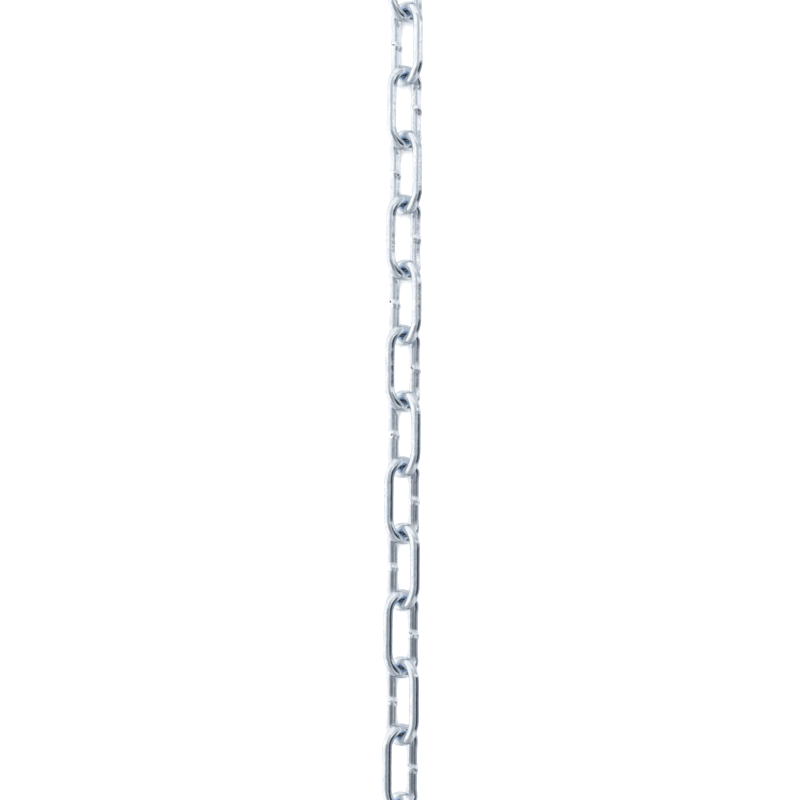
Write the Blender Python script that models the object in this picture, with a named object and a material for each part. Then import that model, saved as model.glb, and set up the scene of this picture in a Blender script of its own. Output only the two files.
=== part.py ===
"""A metre of welded long-link steel chain, lying straight on a level floor.

Each link is one round wire, bent to a long ring and butt-welded in the middle of one leg.
The links lean to the left and to the right in turn, and each rests on its welded leg and
lies a little towards its raised leg's side.
Units are metres and +Z is up. The chain runs along Y, and the origin is on the floor
under the middle link. Every other link hangs from an empty on the hinge that joins it to
its neighbour on the middle link's side, so turning an empty swings the rest of the chain.
"""

import math

import bpy
import numpy as np

# The wire and the link, as a chain maker would order them
WIRE_DIAMETER = 0.008
INNER_LENGTH = 0.052
INNER_WIDTH = 0.016
LINKS_EACH_SIDE = 9

# The weld in the middle of one leg: a low collar with a level top and two short flanks
WELD_RISE = 0.0005
WELD_TOP_LENGTH = 0.003
WELD_FLANK_LENGTH = 0.002

# How the links lie: the lean of each one's plane, how far its middle is off the chain's
# line towards its raised leg, and the gap between two wires that touch
LEAN_DEGREES = 39.8
SIDE_SHIFT = 0.0011
TOUCH_GAP = 0.0003

# How finely a wire is faceted
SECTION_SIDES = 12
CROWN_STEPS = 12

# Zinc-plated finish
ZINC_COLOUR = (0.66, 0.70, 0.76, 1.0)
ZINC_ROUGHNESS = 0.32

WIRE_RADIUS = WIRE_DIAMETER / 2
CROWN_RADIUS = (INNER_WIDTH + WIRE_DIAMETER) / 2
LEG_SPREAD = 2 * CROWN_RADIUS
STRAIGHT_LENGTH = INNER_LENGTH + WIRE_DIAMETER - LEG_SPREAD
LEAN = math.radians(LEAN_DEGREES)

# A facet of the section faces straight down under the lower leg
FACET_ANGLE = 2 * math.pi / SECTION_SIDES
WELD_FACET_DEPTH = (WIRE_RADIUS + WELD_RISE) * math.cos(FACET_ANGLE / 2)
CENTRE_HEIGHT = CROWN_RADIUS * math.sin(LEAN) + WELD_FACET_DEPTH


def clear_scene():
    """Remove the objects that the scene starts with."""
    for old in list(bpy.data.objects):
        bpy.data.objects.remove(old, do_unlink=True)


def zinc_material():
    """Bright zinc plating with a cool tone."""
    material = bpy.data.materials.new("bright_zinc")
    material.use_nodes = True
    shader = material.node_tree.nodes["Principled BSDF"]
    shader.inputs["Base Color"].default_value = ZINC_COLOUR
    shader.inputs["Metallic"].default_value = 1.0
    shader.inputs["Roughness"].default_value = ZINC_ROUGHNESS
    return material


def closest_spacing():
    """Distance between the middles of two hooked links whose wires are TOUCH_GAP apart.

    A point on each crown is given by its angle from that crown's tip. Of all pairs of such
    points, the pair that would meet first as the links are pulled apart sets the spacing.
    """
    angles = np.radians(np.arange(-60.0, 60.5, 0.5))
    lower, upper = np.meshgrid(angles, angles)
    across = 2 * SIDE_SHIFT + CROWN_RADIUS * math.cos(LEAN) * (np.sin(lower) - np.sin(upper))
    rise = CROWN_RADIUS * math.sin(LEAN) * (np.sin(lower) + np.sin(upper))
    room = (WIRE_DIAMETER + TOUCH_GAP) ** 2 - across**2 - rise**2
    meeting = room > 0
    tips = INNER_LENGTH + WIRE_DIAMETER
    reach = tips - CROWN_RADIUS * (2 - np.cos(lower) - np.cos(upper))
    return float((reach[meeting] - np.sqrt(room[meeting])).min())


def link_path():
    """Points (x, y, radius factor) round a link's centreline, with the weld on its +X leg."""
    half_straight = STRAIGHT_LENGTH / 2
    top_end = WELD_TOP_LENGTH / 2
    flank_end = top_end + WELD_FLANK_LENGTH
    raised = 1 + WELD_RISE / WIRE_RADIUS
    points = [
        (CROWN_RADIUS, -flank_end, 1.0),
        (CROWN_RADIUS, -top_end, raised),
        (CROWN_RADIUS, top_end, raised),
        (CROWN_RADIUS, flank_end, 1.0),
    ]
    for first_angle, centre_y in ((0.0, half_straight), (math.pi, -half_straight)):
        for step in range(CROWN_STEPS + 1):
            angle = first_angle + math.pi * step / CROWN_STEPS
            x = CROWN_RADIUS * math.cos(angle)
            y = centre_y + CROWN_RADIUS * math.sin(angle)
            points.append((x, y, 1.0))
    return points


def section_turn():
    """How far the section is turned about the wire, so that a facet lies level underneath."""
    downward = math.pi / 2 - LEAN
    nearest = round(downward / FACET_ANGLE - 0.5) + 0.5
    return downward - nearest * FACET_ANGLE


def link_curve(material):
    """The closed ring of one link, flat in XY and centred, shared by every link."""
    curve = bpy.data.curves.new("chain_link", "CURVE")
    curve.dimensions = "3D"
    curve.fill_mode = "FULL"
    curve.bevel_depth = WIRE_RADIUS
    curve.bevel_resolution = (SECTION_SIDES - 4) // 2
    path = link_path()
    spline = curve.splines.new("POLY")
    spline.points.add(len(path) - 1)
    spline.use_cyclic_u = True
    spline.use_smooth = True
    turn = section_turn()
    for point, (x, y, factor) in zip(spline.points, path):
        point.co = (x, y, 0.0, 1.0)
        point.radius = factor
        point.tilt = turn
    curve.materials.append(material)
    return curve


def add_empty(name, collection, parent, location):
    """An empty that marks a link's place or a hinge."""
    empty = bpy.data.objects.new(name, None)
    empty.empty_display_size = WIRE_DIAMETER
    empty.location = location
    empty.parent = parent
    collection.objects.link(empty)
    return empty


def add_link(number, curve, collection, parent, along):
    """One link, its middle at along on the chain's line, leaning as its number gives."""
    # Turned end for end, the same link leans the other way and rests on its other side
    turned = (number - LINKS_EACH_SIDE - 1) % 2
    raised_side = 1 if turned else -1
    link = bpy.data.objects.new(f"link_{number:02d}", curve)
    link.parent = parent
    link.location = (raised_side * SIDE_SHIFT, along, 0.0)
    link.rotation_euler = (0.0, LEAN, math.pi * turned)
    collection.objects.link(link)


def add_half(side, curve, collection, middle, spacing):
    """The links from the middle one to the chain's end at side (-1 or +1) of it."""
    parent = middle
    to_hinge = side * spacing / 2
    for count in range(1, LINKS_EACH_SIDE + 1):
        number = LINKS_EACH_SIDE + 1 + side * count
        hinge = add_empty(f"hinge_{number:02d}", collection, parent, (0.0, to_hinge, 0.0))
        add_link(number, curve, collection, hinge, side * spacing / 2)
        parent = hinge
        to_hinge = side * spacing


clear_scene()
chain = bpy.data.collections.new("steel_chain")
bpy.context.scene.collection.children.link(chain)
ring = link_curve(zinc_material())
middle_empty = add_empty("middle", chain, None, (0.0, 0.0, CENTRE_HEIGHT))
add_link(LINKS_EACH_SIDE + 1, ring, chain, middle_empty, 0.0)
for chain_side in (-1, 1):
    add_half(chain_side, ring, chain, middle_empty, closest_spacing())
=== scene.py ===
"""The looks of a metre of zinc-plated welded steel chain, lying straight on a white ground."""

import math

import bpy
import numpy as np
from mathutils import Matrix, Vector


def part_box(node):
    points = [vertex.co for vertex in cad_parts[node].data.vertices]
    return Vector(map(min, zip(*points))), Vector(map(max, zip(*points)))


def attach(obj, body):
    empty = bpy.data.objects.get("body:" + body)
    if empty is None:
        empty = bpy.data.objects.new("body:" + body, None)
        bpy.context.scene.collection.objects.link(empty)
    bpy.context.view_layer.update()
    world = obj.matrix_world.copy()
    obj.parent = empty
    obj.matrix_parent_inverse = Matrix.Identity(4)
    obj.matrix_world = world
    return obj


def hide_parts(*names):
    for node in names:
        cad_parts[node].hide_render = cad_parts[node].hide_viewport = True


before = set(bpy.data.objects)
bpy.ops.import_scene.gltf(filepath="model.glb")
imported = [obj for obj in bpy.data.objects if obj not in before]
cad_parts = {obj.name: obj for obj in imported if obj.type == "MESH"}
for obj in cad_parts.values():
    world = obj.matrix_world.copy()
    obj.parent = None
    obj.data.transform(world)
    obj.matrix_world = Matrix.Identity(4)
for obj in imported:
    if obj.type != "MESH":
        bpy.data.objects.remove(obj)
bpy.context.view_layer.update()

# The camera looks down on the chain from a little to its right and from below its middle,
# and is rolled by less than half a degree. Its lens is a long one, so the links keep
# nearly one size over the picture.
CAMERA_PLACE = (0.11833, -0.19515, 1.8)
CAMERA_TILT, CAMERA_SIDE_TURN, CAMERA_ROLL = 5.457, 3.832, 0.393
CAMERA_LENS_MM = 104.45
CAMERA_SENSOR_MM = 36.0

camera_data = bpy.data.cameras.new("camera")
camera_data.lens = CAMERA_LENS_MM
camera_data.sensor_width = CAMERA_SENSOR_MM
camera = bpy.data.objects.new("camera", camera_data)
camera.location = CAMERA_PLACE
camera.rotation_euler = [math.radians(a) for a in (CAMERA_TILT, CAMERA_SIDE_TURN, CAMERA_ROLL)]
bpy.context.scene.collection.objects.link(camera)
bpy.context.scene.camera = camera
bpy.context.scene.view_settings.view_transform = "Standard"
bpy.context.scene.view_settings.look = "None"


# The links. Each is drawn steel wire, bent round at both ends, butt-welded in the middle
# of one leg and then zinc plated. Every link has its own waves, dents and weld, and takes
# the place of the plain link of the frame on whose body it rides.
WIRE_RADIUS = 0.004
INNER_LENGTH = 0.052
INNER_WIDTH = 0.016
CROWN_RADIUS = INNER_WIDTH / 2 + WIRE_RADIUS
HALF_STRAIGHT = (INNER_LENGTH - INNER_WIDTH) / 2
CROWN_LENGTH = math.pi * CROWN_RADIUS
WIRE_LENGTH = 4 * HALF_STRAIGHT + 2 * CROWN_LENGTH

# Where along the wire the tips of the two crowns are
FIRST_TIP = HALF_STRAIGHT + CROWN_LENGTH / 2
TIPS = (FIRST_TIP, WIRE_LENGTH - FIRST_TIP)

# The lean of a link, and where round the wire its skin then faces up
LEAN = math.radians(39.8)
UPWARD = math.pi / 2 + LEAN

# How finely the skin is drawn: along the weld, which reaches this far from its middle,
# along the legs and the crowns, and round the wire
WELD_REACH = 0.0050
WELD_STEP = 0.00012
LEG_STEP = 0.0011
CROWN_STEP = 0.00055
ROUND_STEPS = 64


def rows_along_wire():
    """Distances along the wire, from the weld's middle round the link and back to it.

    Each stretch between two marks is cut into equal steps of about its own step length.
    """
    half_way = HALF_STRAIGHT + CROWN_LENGTH
    marks = (
        (0.0, WELD_STEP),
        (WELD_REACH, LEG_STEP),
        (HALF_STRAIGHT, CROWN_STEP),
        (half_way, LEG_STEP),
        (half_way + 2 * HALF_STRAIGHT, CROWN_STEP),
        (WIRE_LENGTH - HALF_STRAIGHT, LEG_STEP),
        (WIRE_LENGTH - WELD_REACH, WELD_STEP),
        (WIRE_LENGTH, None),
    )
    rows = []
    for (start, step), (stop, _) in zip(marks, marks[1:]):
        count = round((stop - start) / step)
        rows.append(np.linspace(start, stop, count, endpoint=False))
    return np.concatenate(rows)


def centreline(s):
    """Middle of the wire, in the link's own plane, and the angle its outward side points.

    A leg is x = +-crown radius with y running evenly; a crown is a half circle round
    (0, +-half the straight length). The outward angle is 0 on the welded leg and turns
    evenly round each crown.
    """
    top = np.clip((s - HALF_STRAIGHT) / CROWN_RADIUS, 0, math.pi)
    bottom = np.clip((s - 3 * HALF_STRAIGHT - CROWN_LENGTH) / CROWN_RADIUS, 0, math.pi)
    angle = top + bottom
    first_leg = np.clip(s, 0, HALF_STRAIGHT)
    second_leg = np.clip(s - HALF_STRAIGHT - CROWN_LENGTH, 0, 2 * HALF_STRAIGHT)
    last_leg = np.clip(s - 3 * HALF_STRAIGHT - 2 * CROWN_LENGTH, 0, HALF_STRAIGHT)
    x = CROWN_RADIUS * np.cos(angle)
    y = first_leg - second_leg + last_leg + CROWN_RADIUS * np.sin(angle)
    return x, y, angle


# Drawing and bending leave slight waves in the wire. Each has fewer crests along the link
# and round the wire than these numbers say, and a shorter wave is a lower one.
WAVE_COUNT = 20
WAVE_HEIGHT = 0.000026
WAVES_ALONG = 30
WAVES_ROUND = 4
WAVE_FALL = 3


def waves(rng, s, theta):
    """Sum of cosines, each periodic round the link and round the wire.

    One with n crests along the link is WAVE_HEIGHT / (1 + n / WAVE_FALL) high.
    """
    total = np.zeros((s.shape[0], theta.shape[1]))
    for _ in range(WAVE_COUNT):
        along = rng.integers(1, WAVES_ALONG)
        around = rng.integers(0, WAVES_ROUND)
        phase = rng.uniform(0, 2 * math.pi)
        height = WAVE_HEIGHT / (1 + along / WAVE_FALL)
        total += height * np.cos(2 * math.pi * along * s / WIRE_LENGTH + around * theta + phase)
    return total


def spot(s, theta, place, turn, length, width, height, skew=0.0):
    """A smooth lump of the given height on the skin.

    It is height * exp(-(along/length)^2 - (across/width)^2), with across the distance
    round the wire, measured the shorter way. skew turns the lump's own axes on the skin.
    """
    round_wire = WIRE_RADIUS * (np.mod(theta - turn + math.pi, 2 * math.pi) - math.pi)
    along = (s - place) * math.cos(skew) + round_wire * math.sin(skew)
    across = round_wire * math.cos(skew) - (s - place) * math.sin(skew)
    return height * np.exp(-((along / length) ** 2) - (across / width) ** 2)


# The weld's ridge: how far its feet lie from its middle, the slope of its flanks, its most
# height, how its crest and feet are rounded, and how uneven and how slanting the crest is
WELD_FOOT = 0.0033
WELD_SLOPE = 0.35
WELD_MOST = 0.0011
CREST_ROUND = 0.0006
FOOT_ROUND = 0.00012
CREST_UNEVEN = 0.12
CREST_SLANT = 0.0012

# The seam between the two wire ends winds to and fro as a notch of varying depth
SEAM_WAVE = 0.00035
SEAM_RIPPLE = 0.00025
NOTCH_WIDTH = 0.0005
NOTCH_LEAST = 0.00002
NOTCH_MORE = 0.00008

# Lumps and pits stray from the seam by about this much, and have these least and most
# lengths, widths and heights. The weld's sides are trimmed clean, so pits lie within a
# spread, in radians, of its top and its underside. Shade is painted into the pits by their
# depth, and at this depth a pit is painted fully dark.
LUMP_COUNT = 16
LUMP_STRAY = 0.0013
LUMP_LEAST, LUMP_MOST = (0.0004, 0.0007, 0.00005), (0.0008, 0.0015, 0.00020)
PIT_COUNT = 10
PIT_STRAY = 0.0008
PIT_LEAST, PIT_MOST = (0.00045, 0.00060, 0.00012), (0.00075, 0.00100, 0.00038)
PIT_SPREAD = 0.75
PIT_SHADE_DEPTH = 0.00045


def weld_swell(rng, w, theta):
    """Height of the weld over the wire at a distance w from its crest, and its painted pit shade.

    The wire ends are upset into a ridge with straight flanks, slope * (far - |w|), whose
    crest and feet are rounded by square roots. A seam winds round its crest as a shallow
    notch, with lumps and pits along it. How deep notch and pits are is also given from 0
    to 1, and paints shade into them.
    """
    crest_phase, seam_phase, ripple_phase = rng.uniform(0, 2 * math.pi, 3)
    flank = WELD_SLOPE * (np.hypot(WELD_FOOT, CREST_ROUND) - np.hypot(w, CREST_ROUND))
    flank = flank * (1 + CREST_UNEVEN * np.cos(theta + crest_phase))
    swell = (flank + np.hypot(flank, FOOT_ROUND)) / 2

    def seam(turn):
        wave = SEAM_WAVE * np.sin(turn + seam_phase)
        return wave + SEAM_RIPPLE * np.sin(2 * turn + ripple_phase)

    notch = NOTCH_LEAST + NOTCH_MORE * np.cos(theta + ripple_phase) ** 2
    sunk = notch * np.exp(-(((w - seam(theta)) / NOTCH_WIDTH) ** 2))
    for _ in range(LUMP_COUNT):
        turn, skew = rng.uniform(0, 2 * math.pi, 2)
        place = seam(turn) + rng.normal(0, LUMP_STRAY)
        length, width, height = rng.uniform(LUMP_LEAST, LUMP_MOST)
        swell = swell + spot(w, theta, place, turn, length, width, height, skew)
    for count in range(PIT_COUNT):
        turn = UPWARD + math.pi * (count % 2) + rng.uniform(-PIT_SPREAD, PIT_SPREAD)
        skew = rng.uniform(0, 2 * math.pi)
        place = seam(turn) + rng.normal(0, PIT_STRAY)
        length, width, depth = rng.uniform(PIT_LEAST, PIT_MOST)
        sunk = sunk + spot(w, theta, place, turn, length, width, depth, skew)
    swell = np.minimum(swell, WELD_MOST)
    # The second value is painted shade for the pits and notch
    return swell - sunk, np.clip(sunk / PIT_SHADE_DEPTH, 0, 1)


# The frame's middle link lies as links are made here, and every other one from there is
# turned end for end
MIDDLE_LINK = (len(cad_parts) + 1) // 2


def facing(number):
    """1 for a link that lies as it is made, and -1 for one that is turned end for end."""
    return -1 if (number - MIDDLE_LINK) % 2 else 1


# A band of painted shade lies along the top of the welded leg, clear of the weld itself:
# its colour is darkened there to stand in for a darker reflection. It begins below this
# link number and is full this many links further down.
TOP_SHADE_WIDTH = math.radians(32)
TOP_SHADE_CLEAR = 0.003
TOP_SHADE_FROM_LINK = 12.5
TOP_SHADE_OVER_LINKS = 5

# A matt streak runs along the right flank of the welded leg, this far round from its top.
# Both marks fade out towards the crowns.
RUB_TURN = math.radians(42)
RUB_WIDTH = math.radians(14)
LEG_FADE_FROM = HALF_STRAIGHT - 0.002
LEG_FADE = 0.006

# The weld has its own colour this far to each side. Grime lies round the place on the
# inside of each tip where the next link bears, painted dark enough to stand for the
# shade in the crevice between hooked links as well.
WELD_ZONE = 0.004
GRIME_SHADE_ALONG = 0.0064
GRIME_SHADE_ROUND = 0.0042


def marks_and_painted_shade(number, s, w, from_crest, theta):
    """How strong each kind of wear and painted shade is at each point of the skin, from 0 to 1.

    The band of painted shade along the top is exp(-(off the top/width)^4) and the streak is
    exp(-(off the flank/width)^2), both within the welded leg. The weld's zone is
    exp(-(w/zone)^2), and grime with painted crevice shade is a spot at each tip.
    """
    in_leg = 1 - np.clip((np.abs(w) - LEG_FADE_FROM) / LEG_FADE, 0, 1)
    off_top = np.mod(theta - UPWARD + math.pi, 2 * math.pi) - math.pi
    off_flank = off_top + facing(number) * RUB_TURN
    band = in_leg * np.exp(-((off_top / TOP_SHADE_WIDTH) ** 4))
    band = band * (1 - np.exp(-((from_crest / TOP_SHADE_CLEAR) ** 2)))
    return {
        "weld_zone": np.exp(-((w / WELD_ZONE) ** 2)) * np.ones_like(theta),
        "top_shade_band": band * np.clip((TOP_SHADE_FROM_LINK - number) / TOP_SHADE_OVER_LINKS, 0, 1),
        "rub": in_leg * np.exp(-((off_flank / RUB_WIDTH) ** 2)),
        "grime_and_shade": sum(
            spot(s, theta, tip, math.pi, GRIME_SHADE_ALONG, GRIME_SHADE_ROUND, 1.0) for tip in TIPS
        ),
    }


# Bending has thickened the crowns, most of all on the inside and where the next link
# bears, so that the wires of two hooked links all but touch
CROWN_SWELL = 0.00012
INNER_SWELL = 0.00016
BEARING_SWELL = 0.00010
BEARING_REACH = 0.0019

# Small dents from handling, with their least and most lengths, widths and depths
DENT_COUNT = 9
DENT_LEAST, DENT_MOST = (0.0004, 0.0003, 0.00002), (0.0016, 0.0009, 0.00007)

# At the weld the two wire ends sit off each other by a step that dies out along the leg
END_STEP = 0.00016
END_STEP_RISE = 0.0009
END_STEP_REACH = 0.005

# A link's random numbers start from this seed plus its number
FIRST_SEED = 700


def link_surface(number):
    """Points of one link's skin, as rows along the wire by steps round it.

    A point is the wire's middle plus radius * (cos(theta) outward + sin(theta) off the
    link's plane). The radius is the wire's own plus the swell of the crowns, waves, dents
    and the weld. The weld's crest slants: it lies slant * sin(theta - upward) along the
    wire. Each point's place along and across the wire, its wear and its painted shade are
    given too.
    """
    rng = np.random.default_rng(FIRST_SEED + number)
    s = rows_along_wire()[:, None]
    theta = np.linspace(0, 2 * math.pi, ROUND_STEPS, endpoint=False)[None, :]
    w = np.where(s > WIRE_LENGTH / 2, s - WIRE_LENGTH, s)
    from_crest = w - CREST_SLANT * np.sin(theta - UPWARD)
    x, y, angle = centreline(s)

    bend = np.sin(angle) ** 2
    inner_side = ((1 - np.cos(theta)) / 2) ** 2
    radius = WIRE_RADIUS + bend * (CROWN_SWELL + INNER_SWELL * inner_side)
    radius = radius + waves(rng, s, theta)
    for _ in range(DENT_COUNT):
        place, turn = rng.uniform(0, WIRE_LENGTH), rng.uniform(0, 2 * math.pi)
        length, width, depth = rng.uniform(DENT_LEAST, DENT_MOST)
        radius = radius - spot(s, theta, place, turn, length, width, depth)
    swell, pit_shade = weld_swell(rng, from_crest, theta)
    radius = radius + swell
    for tip in TIPS:
        radius = radius + spot(
            s, theta, tip, math.pi, BEARING_REACH, BEARING_REACH, BEARING_SWELL
        )

    step_turn = rng.uniform(0, 2 * math.pi)
    step = END_STEP * np.tanh(w / END_STEP_RISE) * np.exp(-np.abs(w) / END_STEP_REACH)
    outward = radius * np.cos(theta) + step * math.cos(step_turn)
    off_plane = radius * np.sin(theta) + step * math.sin(step_turn)
    points = np.stack(
        (x + outward * np.cos(angle), y + outward * np.sin(angle), off_plane), axis=-1
    )

    # The link's number goes into the place, so that no two links have the same pattern
    along_wire = np.broadcast_to(s + number, radius.shape)
    wire_place = np.stack(
        (along_wire, radius * np.cos(theta), radius * np.sin(theta)), axis=-1
    )
    marks_and_shade = marks_and_painted_shade(number, s, w, from_crest, theta)
    marks_and_shade["pit_shade"] = pit_shade
    return points, wire_place, marks_and_shade


# How a link lies: off the chain's line towards its raised leg, on the weld in its lower
# leg. From a place along its legs its crowns bend back, so that their tips lie on the
# chain's line, and reach a little further than a plain link's.
SIDE_SHIFT = 0.0011
REST_DEPTH = 0.0043467
CENTRE_HEIGHT = CROWN_RADIUS * math.sin(LEAN) + REST_DEPTH
TIP_REACH = 0.00010
BACK_FROM = 0.014
BACK_RUN = 0.012


def laid_in_chain(points, number):
    """The link's points in the chain.

    They are turned about Y by the lean and moved to the link's place, and x and y change
    sign for a link that is turned end for end. Nothing goes below the floor.
    """
    low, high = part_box(f"link_{number:02d}")
    along = (low[1] + high[1]) / 2
    x = points[..., 0] * math.cos(LEAN) + points[..., 2] * math.sin(LEAN)
    z = points[..., 2] * math.cos(LEAN) - points[..., 0] * math.sin(LEAN)
    y = points[..., 1]
    to_tip = np.clip((np.abs(y) - BACK_FROM) / BACK_RUN, 0, 1)
    to_tip = to_tip**2 * (3 - 2 * to_tip)
    x = x - SIDE_SHIFT * (1 - to_tip)
    y = y + TIP_REACH * to_tip * np.sign(y)
    side = facing(number)
    above_floor = np.maximum(z + CENTRE_HEIGHT, 0)
    return np.stack((side * x, side * y + along, above_floor), axis=-1)


def torus_faces(rows, steps):
    """Quads that join each row to the next and each step to the next, both closing up."""
    row, step = np.meshgrid(np.arange(rows), np.arange(steps), indexing="ij")
    next_row, next_step = (row + 1) % rows, (step + 1) % steps
    corners = (
        (row, step),
        (next_row, step),
        (next_row, next_step),
        (row, next_step),
    )
    return np.stack([a * steps + b for a, b in corners], axis=-1).reshape(-1, 4)


def mesh_piece(name, points, faces):
    """A smooth-shaded mesh object from arrays of points and quads, its place in its mesh."""
    mesh = bpy.data.meshes.new(name)
    mesh.vertices.add(len(points))
    mesh.vertices.foreach_set("co", points.astype(np.float32).ravel())
    mesh.loops.add(faces.size)
    mesh.loops.foreach_set("vertex_index", faces.astype(np.int32).ravel())
    mesh.polygons.add(len(faces))
    mesh.polygons.foreach_set("loop_start", np.arange(0, faces.size, 4, dtype=np.int32))
    mesh.update(calc_edges=True)
    mesh.validate()
    mesh.shade_smooth()
    piece = bpy.data.objects.new(name, mesh)
    bpy.context.scene.collection.objects.link(piece)
    return piece


def add_attribute(piece, name, kind, values):
    """Stores one value a point for the material, as a vector or a single number."""
    attribute = piece.data.attributes.new(name, kind, "POINT")
    key = "vector" if kind == "FLOAT_VECTOR" else "value"
    attribute.data.foreach_set(key, values.astype(np.float32).ravel())


class Shade:
    """One socket of a node tree. Python's operators on it add Math nodes."""

    def __init__(self, tree, socket=None):
        self.tree = tree
        self.socket = socket

    def node(self, kind, settings=None, inputs=None, output=0):
        """Adds a node of this type and gives one of its outputs.

        Its settings are set first, of which stops holds a ramp's places and colours, and
        then the values or links of its inputs.
        """
        made = self.tree.nodes.new(kind)
        for key, value in (settings or {}).items():
            if key == "stops":
                stops = made.color_ramp.elements
                for index, (place, colour) in enumerate(value):
                    stop = stops[index] if index < len(stops) else stops.new(place)
                    stop.position = place
                    stop.color = colour
            else:
                setattr(made, key, value)
        for key, value in (inputs or {}).items():
            if isinstance(value, Shade):
                self.tree.links.new(value.socket, made.inputs[key])
            else:
                made.inputs[key].default_value = value
        return Shade(self.tree, made.outputs[output])

    def maths(self, operation, *values):
        """Adds a Math node, with its values or links in order."""
        numbered = dict(enumerate(values))
        return self.node("ShaderNodeMath", {"operation": operation}, numbered)

    def __add__(self, other):
        return self.maths("ADD", self, other)

    def __sub__(self, other):
        return self.maths("SUBTRACT", self, other)

    def __rsub__(self, other):
        return self.maths("SUBTRACT", other, self)

    def __mul__(self, other):
        return self.maths("MULTIPLY", self, other)

    __radd__ = __add__
    __rmul__ = __mul__

    def step(self, start, stop):
        """0 below start, 1 above stop and a smooth rise between."""
        settings = {"interpolation_type": "SMOOTHSTEP"}
        return self.node("ShaderNodeMapRange", settings, {0: self, 1: start, 2: stop})

    def band(self, rise, fall):
        """A smooth rise to 1 over one stretch and a smooth fall to 0 over the other."""
        return self.step(*rise) * (1 - self.step(*fall))

    def levels(self, start, *changes):
        """The number start plus, for each change (low, high, amount), amount * step."""
        level = start
        for low, high, amount in changes:
            level = level + self.step(low, high) * amount
        return level

    def mix(self, low, high):
        """The colour low where this is 0 and high where it is 1."""
        settings = {"data_type": "RGBA"}
        return self.node("ShaderNodeMix", settings, {0: self, 6: low, 7: high}, output=2)

    def noise(self, place, stretch, detail=2.0, roughness=0.5):
        """Noise from 0 to 1 at place, with so many waves a metre along each axis."""
        scaled = self.node(
            "ShaderNodeVectorMath", {"operation": "MULTIPLY"}, {0: place, 1: stretch}
        )
        inputs = {"Vector": scaled, "Scale": 1.0, "Detail": detail, "Roughness": roughness}
        return self.node("ShaderNodeTexNoise", None, inputs)


# The plating's colours: zinc as it drifts from cool to plain and warm, its scuffs, the
# painted shade along the top of the welded leg, the weld, a pale blue painted round a
# bearing place for light bounced between the links, the grime there, painted dark for the
# crevice's shade too, and the painted shade of pits
ZINC_COOL = (0.74, 0.785, 0.835, 1.0)
ZINC_PLAIN = (0.84, 0.855, 0.86, 1.0)
ZINC_WARM = (0.84, 0.81, 0.79, 1.0)
ZINC_SCUFF = (0.50, 0.53, 0.58, 1.0)
ZINC_TOP_SHADE = (0.36, 0.38, 0.42, 1.0)
ZINC_WELD = (0.90, 0.92, 0.93, 1.0)
ZINC_BOUNCE_BLUE = (0.655, 0.745, 0.855, 1.0)
SEAT_GRIME_AND_SHADE = (0.030, 0.052, 0.088, 1.0)
ZINC_PIT_SHADE = (0.095, 0.125, 0.165, 1.0)
ZINC_EDGE = (0.70, 0.72, 0.77, 1.0)

# How much of the colour each of them covers where it is strongest
WARM_SHARE = 0.5
SCUFF_SHARE = 0.55
TOP_SHADE_SHARE = 0.85
WELD_SHARE = 0.8
BOUNCE_BLUE_SHARE = 0.90

# Noise waves a metre, along the wire and across it
CLOUD_WAVES = (90.0, 220.0, 220.0)
WARM_WAVES = (140.0, 180.0, 180.0)
STREAK_WAVES = (70.0, 3600.0, 3600.0)
SPECKLE_WAVES = (1500.0, 2400.0, 2400.0)
SCUFF_WAVES = (500.0, 1100.0, 1100.0)
GRAIN_WAVES = (650.0, 900.0, 900.0)

# Roughness of plain zinc and what each mark adds, and how much less metallic grime and
# the matt streak are
PLAIN_ROUGHNESS = 0.06
STREAK_ROUGHNESS = 0.07
SCUFF_ROUGHNESS = 0.10
WELD_ROUGHNESS = 0.08
SEAT_ROUGHNESS = 0.40
SEAT_MATT = 0.45
RUB_MATT = 0.11

# Fine relief: heights of streaks and grain over the speckle's, and the bump's own size
STREAK_HEIGHT = 0.5
GRAIN_HEIGHT = 6.0
BUMP_STRENGTH = 0.6
BUMP_DISTANCE = 0.00002


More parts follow.
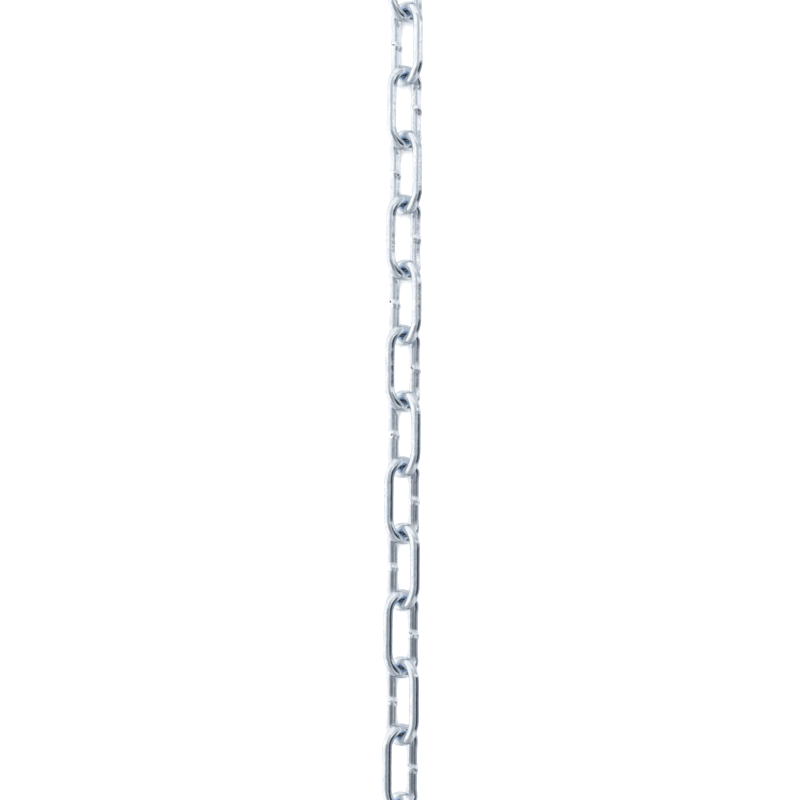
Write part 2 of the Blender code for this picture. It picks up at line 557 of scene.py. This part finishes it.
def zinc_plate():
    """Bright zinc on drawn wire.

    The colour drifts from cool to neutral in broad clouds with a few warm ones, and is
    scuffed. Fine streaks run along the wire. Painted shade darkens the top of the welded
    leg. The weld is brighter, with painted shade in its pits. Where links bear, dark grime
    with the painted shade of the crevice lies in a wide pale blue ring that paints light
    bounced between the links.
    """
    material = bpy.data.materials.new("zinc_plate")
    material.use_nodes = True
    tree = material.node_tree
    shader = tree.nodes["Principled BSDF"]
    make = Shade(tree)
    place = make.node("ShaderNodeAttribute", {"attribute_name": "wire_place"}, output=1)
    weld, top_shade, rub, pit_shade, grime_and_shade = (
        make.node("ShaderNodeAttribute", {"attribute_name": name}, output=2)
        for name in ("weld_zone", "top_shade_band", "rub", "pit_shade", "grime_and_shade")
    )

    clouds = make.noise(place, CLOUD_WAVES, 3.0).step(0.35, 0.65)
    warm = make.noise(place, WARM_WAVES).step(0.60, 0.74)
    streaks = make.noise(place, STREAK_WAVES, 3.0, 0.6)
    speckle = make.noise(place, SPECKLE_WAVES, 3.0, 0.6)
    scuffs = make.noise(place, SCUFF_WAVES, 3.0, 0.6).step(0.48, 0.75)
    grain = make.noise(place, GRAIN_WAVES)
    seat = grime_and_shade.step(0.38, 0.78)

    colour = clouds.mix(ZINC_COOL, ZINC_PLAIN)
    colour = (warm * WARM_SHARE).mix(colour, ZINC_WARM)
    colour = (scuffs * SCUFF_SHARE).mix(colour, ZINC_SCUFF)
    # Painted shade: the top of the welded leg is darkened, more so down the chain
    colour = (top_shade * TOP_SHADE_SHARE).mix(colour, ZINC_TOP_SHADE)
    colour = (weld.step(0.35, 0.95) * WELD_SHARE).mix(colour, ZINC_WELD)
    # Painted reflection: a pale blue ring round each bearing place stands for light bounced
    # between hooked links
    colour = (grime_and_shade.step(0.0, 0.20) * BOUNCE_BLUE_SHARE).mix(colour, ZINC_BOUNCE_BLUE)
    # Grime and painted shade: where the next link bears, the colour goes dark for the crevice's
    # shade
    colour = seat.mix(colour, SEAT_GRIME_AND_SHADE)
    # Painted shade: the pits and notch of the weld are darkened by their depth
    colour = pit_shade.step(0.3, 0.95).mix(colour, ZINC_PIT_SHADE)

    rough = PLAIN_ROUGHNESS + streaks * STREAK_ROUGHNESS + scuffs * SCUFF_ROUGHNESS
    rough = rough + weld * WELD_ROUGHNESS + seat * SEAT_ROUGHNESS
    metal = 1 - seat * SEAT_MATT - rub * RUB_MATT
    height = streaks * STREAK_HEIGHT + speckle + grain * GRAIN_HEIGHT
    bump_inputs = {"Strength": BUMP_STRENGTH, "Distance": BUMP_DISTANCE, "Height": height}
    bump = make.node("ShaderNodeBump", None, bump_inputs)

    tree.links.new(colour.socket, shader.inputs["Base Color"])
    tree.links.new(rough.socket, shader.inputs["Roughness"])
    tree.links.new(metal.socket, shader.inputs["Metallic"])
    tree.links.new(bump.socket, shader.inputs["Normal"])
    shader.inputs["Specular Tint"].default_value = ZINC_EDGE
    return material


zinc = zinc_plate()
for node in sorted(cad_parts):
    link_number = int(node.removeprefix("link_"))
    skin, place_on_wire, marks_and_shade = link_surface(link_number)
    link_faces = torus_faces(*skin.shape[:2])
    link_points = laid_in_chain(skin, link_number).reshape(-1, 3)
    link = mesh_piece(f"welded_{node}", link_points, link_faces)
    add_attribute(link, "wire_place", "FLOAT_VECTOR", place_on_wire)
    for mark_name, amount in marks_and_shade.items():
        add_attribute(link, mark_name, "FLOAT", amount)
    link.data.materials.append(zinc)
    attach(link, node)
    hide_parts(node)


# The ground: a matt white sheet that a soft overhead lamp lights until it is as white as
# paper. The wires mirror neither the sheet nor the lamp, only the studio round them.
GROUND_HALF = 6.0
GROUND_WHITE = (0.80, 0.80, 0.80, 1.0)
# A hair below the floor, clear of the undersides of the links
GROUND_DROP = 0.00002
LAMP_STRENGTH = 6.0
LAMP_WIDTH = 75.0

corners = GROUND_HALF * np.array(((-1, -1, 0), (1, -1, 0), (1, 1, 0), (-1, 1, 0)))
ground = mesh_piece("ground", corners - (0, 0, GROUND_DROP), np.array(((0, 1, 2, 3),)))
ground_white = bpy.data.materials.new("ground_white")
ground_white.use_nodes = True
ground_shader = ground_white.node_tree.nodes["Principled BSDF"]
ground_shader.inputs["Base Color"].default_value = GROUND_WHITE
ground_shader.inputs["Roughness"].default_value = 1.0
ground_shader.inputs["Specular IOR Level"].default_value = 0.0
ground.data.materials.append(ground_white)
ground.visible_glossy = False

lamp_data = bpy.data.lights.new("overhead", "SUN")
lamp_data.energy = LAMP_STRENGTH
lamp_data.angle = math.radians(LAMP_WIDTH)
lamp = bpy.data.objects.new("overhead", lamp_data)
lamp.visible_glossy = False
bpy.context.scene.collection.objects.link(lamp)


# The light: a white studio all round, given by how far a direction turns to the right of
# straight up, in degrees, and by how far it points along the chain, to_y. Overhead is a
# grey valley. On the right a dark wall fades out below the floor, with a lit strip in it.
STUDIO_STRENGTH = 1.16
STUDIO_TONES = (
    (0.0, (0.022, 0.036, 0.062, 1.0)),
    (0.35, (0.345, 0.377, 0.416, 1.0)),
    (0.75, (0.728, 0.757, 0.792, 1.0)),
    (1.0, (1.0, 1.0, 1.0, 1.0)),
)
VALLEY_SHIFT = 9
LAMP_BOX_LIGHT = 0.12
GLINT_LIGHT = 0.19

world = bpy.data.worlds.new("studio")
bpy.context.scene.world = world
world.use_nodes = True
light = Shade(world.node_tree)
direction = light.node("ShaderNodeTexCoord")
split = light.node("ShaderNodeSeparateXYZ", None, {0: direction})
to_x, to_y, to_z = (Shade(world.node_tree, split.socket.node.outputs[i]) for i in range(3))
angle = light.maths("ARCTAN2", to_x, to_z) * (180 / math.pi)

left_edge = angle - to_y.step(0.0, 0.20) * VALLEY_SHIFT
valley = left_edge.step(-50, -9) * (1 - angle.step(12, 52))
valley_floor = to_y.levels(0.87, (-0.92, -0.52, -0.60), (-0.06, 0.13, 0.23), (0.45, 0.68, 0.47))
wall = angle.band((22, 53), (62, 180))
strip = to_y.levels(1.0, (-0.66, -0.42, -1.0), (0.10, 0.22, 0.82))
strip = strip + to_y.levels(0.0, (0.27, 0.36, -0.46), (0.42, 0.64, 0.40))

# Both ends of the studio, up and down the chain, are darker, and more so on either side
up_chain = to_y.step(0.35, 0.60)
down_chain = 1 - to_y.step(-0.60, -0.35)
ends = to_y.levels(0.4, (-1.0, -0.42, 0.6), (0.35, 0.70, -0.08))
ends = ends - up_chain * angle.step(40, 100) * 0.20
ends = ends - up_chain * (1 - angle.step(-110, -60)) * 0.11
ends = ends - down_chain * angle.step(110, 150) * 0.10

# A soft box stands low on the left, and a faint glint lies on the right up the chain
lamp_box = angle.band((-96, -84), (-58, -44)) * LAMP_BOX_LIGHT
glint = angle.band((14, 44), (54, 76)) * to_y.band((0.08, 0.20), (0.35, 0.50)) * GLINT_LIGHT
bright = (1 - valley * (1 - valley_floor)) * (1 - wall * (1 - strip)) * ends
studio = light.node("ShaderNodeValToRGB", {"stops": STUDIO_TONES}, {0: bright + lamp_box + glint})
background = world.node_tree.nodes["Background"]
background.inputs["Strength"].default_value = STUDIO_STRENGTH
world.node_tree.links.new(studio.socket, background.inputs["Color"])
